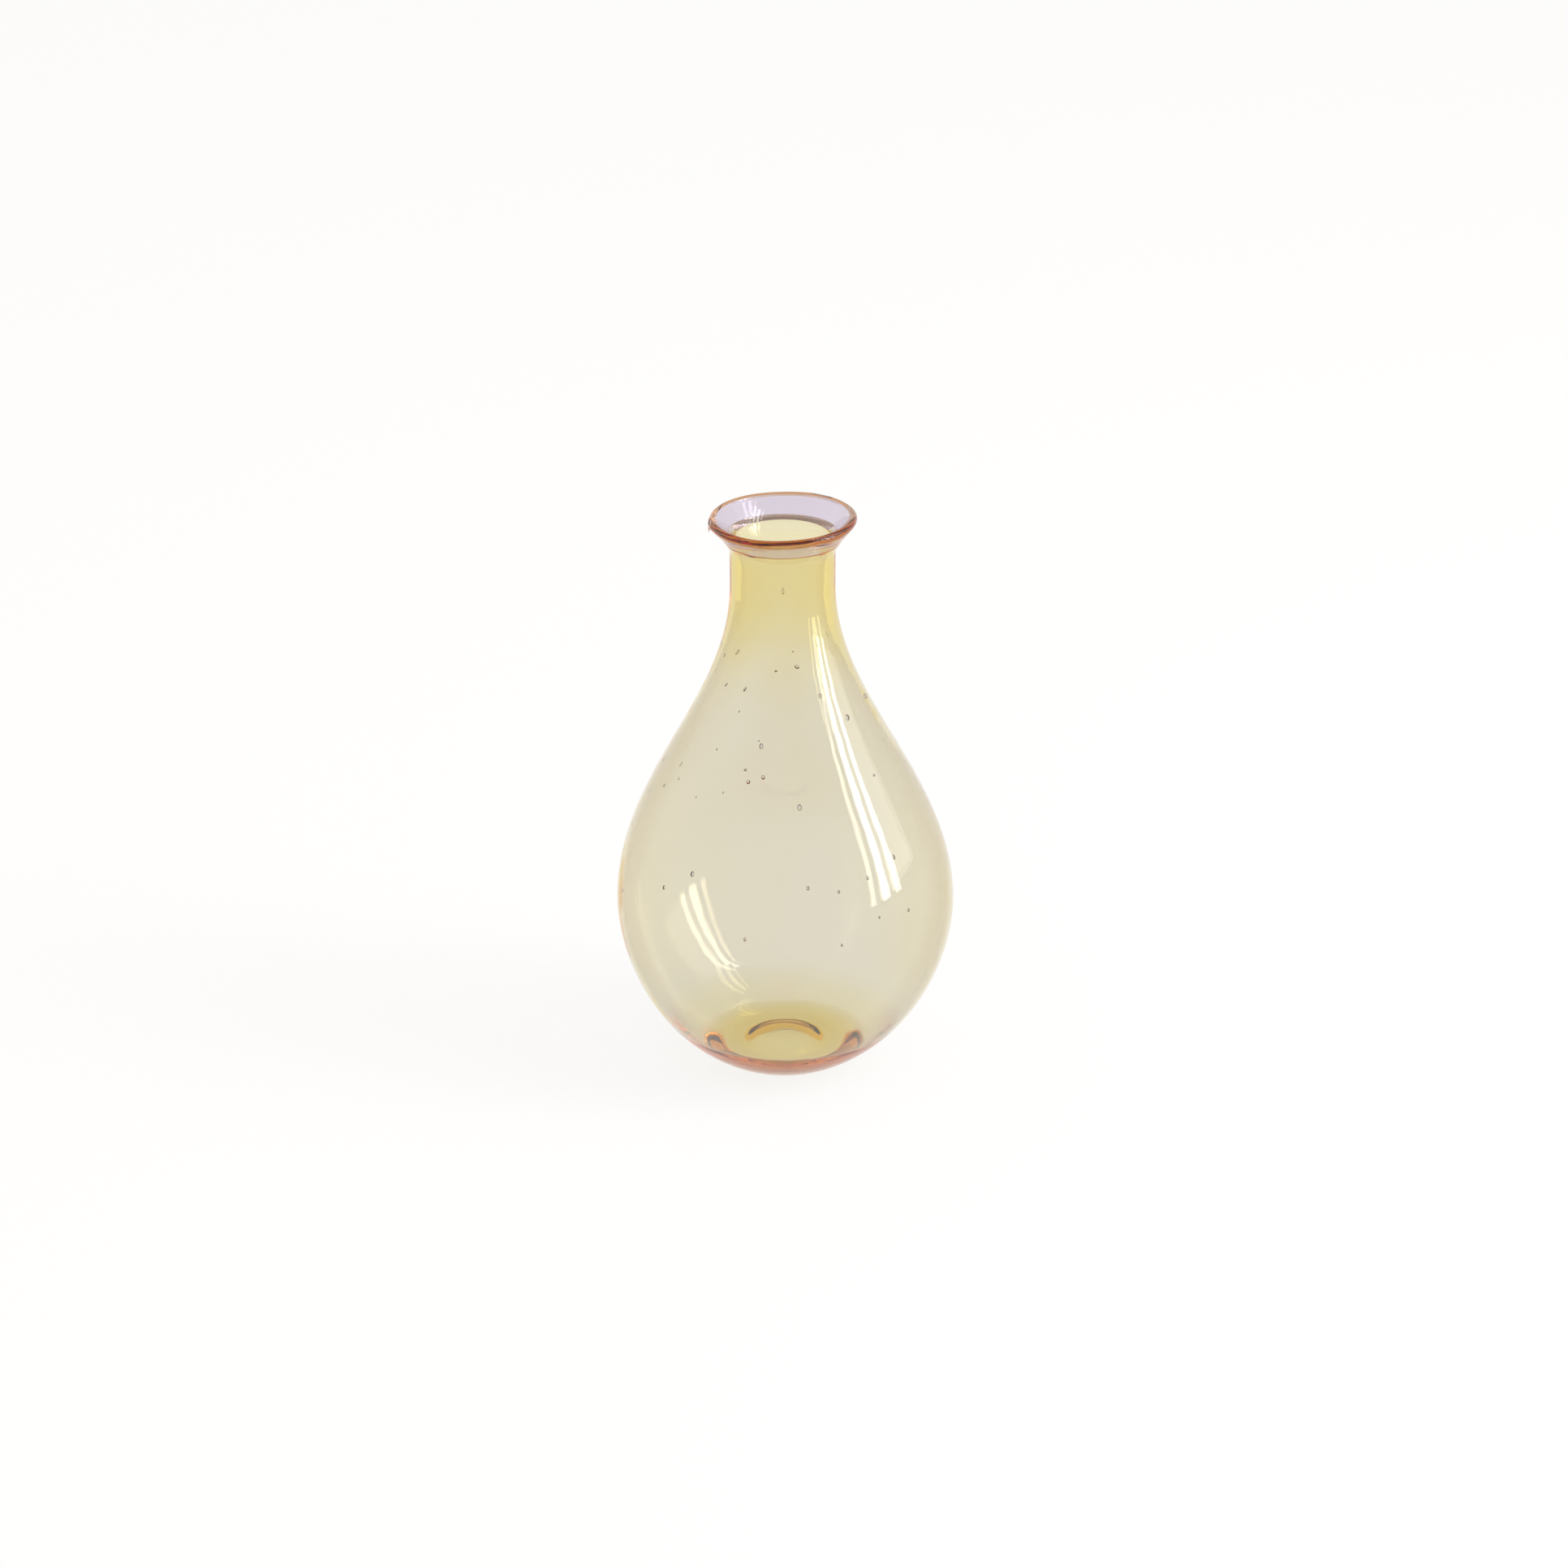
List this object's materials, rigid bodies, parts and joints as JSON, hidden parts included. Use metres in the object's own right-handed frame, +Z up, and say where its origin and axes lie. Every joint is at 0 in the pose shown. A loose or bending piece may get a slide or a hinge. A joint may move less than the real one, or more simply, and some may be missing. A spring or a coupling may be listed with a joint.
{
  "type": "bud vase",
  "caption": "Blown glass bud vase: teardrop bulb with a thick dimpled base and narrow neck, a flared lip of a second colour, and a fine glass bead round the rim.",
  "frame": {"origin": "centre of the foot ring, on the surface that the vase stands on", "axes": "+Z up along the vase's axis, through the middle of the mouth; the vase is a turned shape, so +X and +Y are free"},
  "size_m": [0.0874, 0.0874, 0.15],
  "materials": {
    "straw_glass": "clear straw yellow blown glass, fire polished",
    "lilac_glass": "clear pale lilac blown glass, fire polished",
    "amber_glass": "clear amber glass thread, fire polished"
  },
  "bodies": {
    "root": {"bulb": "straw_glass", "lip_collar": "lilac_glass", "rim_bead": "amber_glass"}
  },
  "joints": []
}
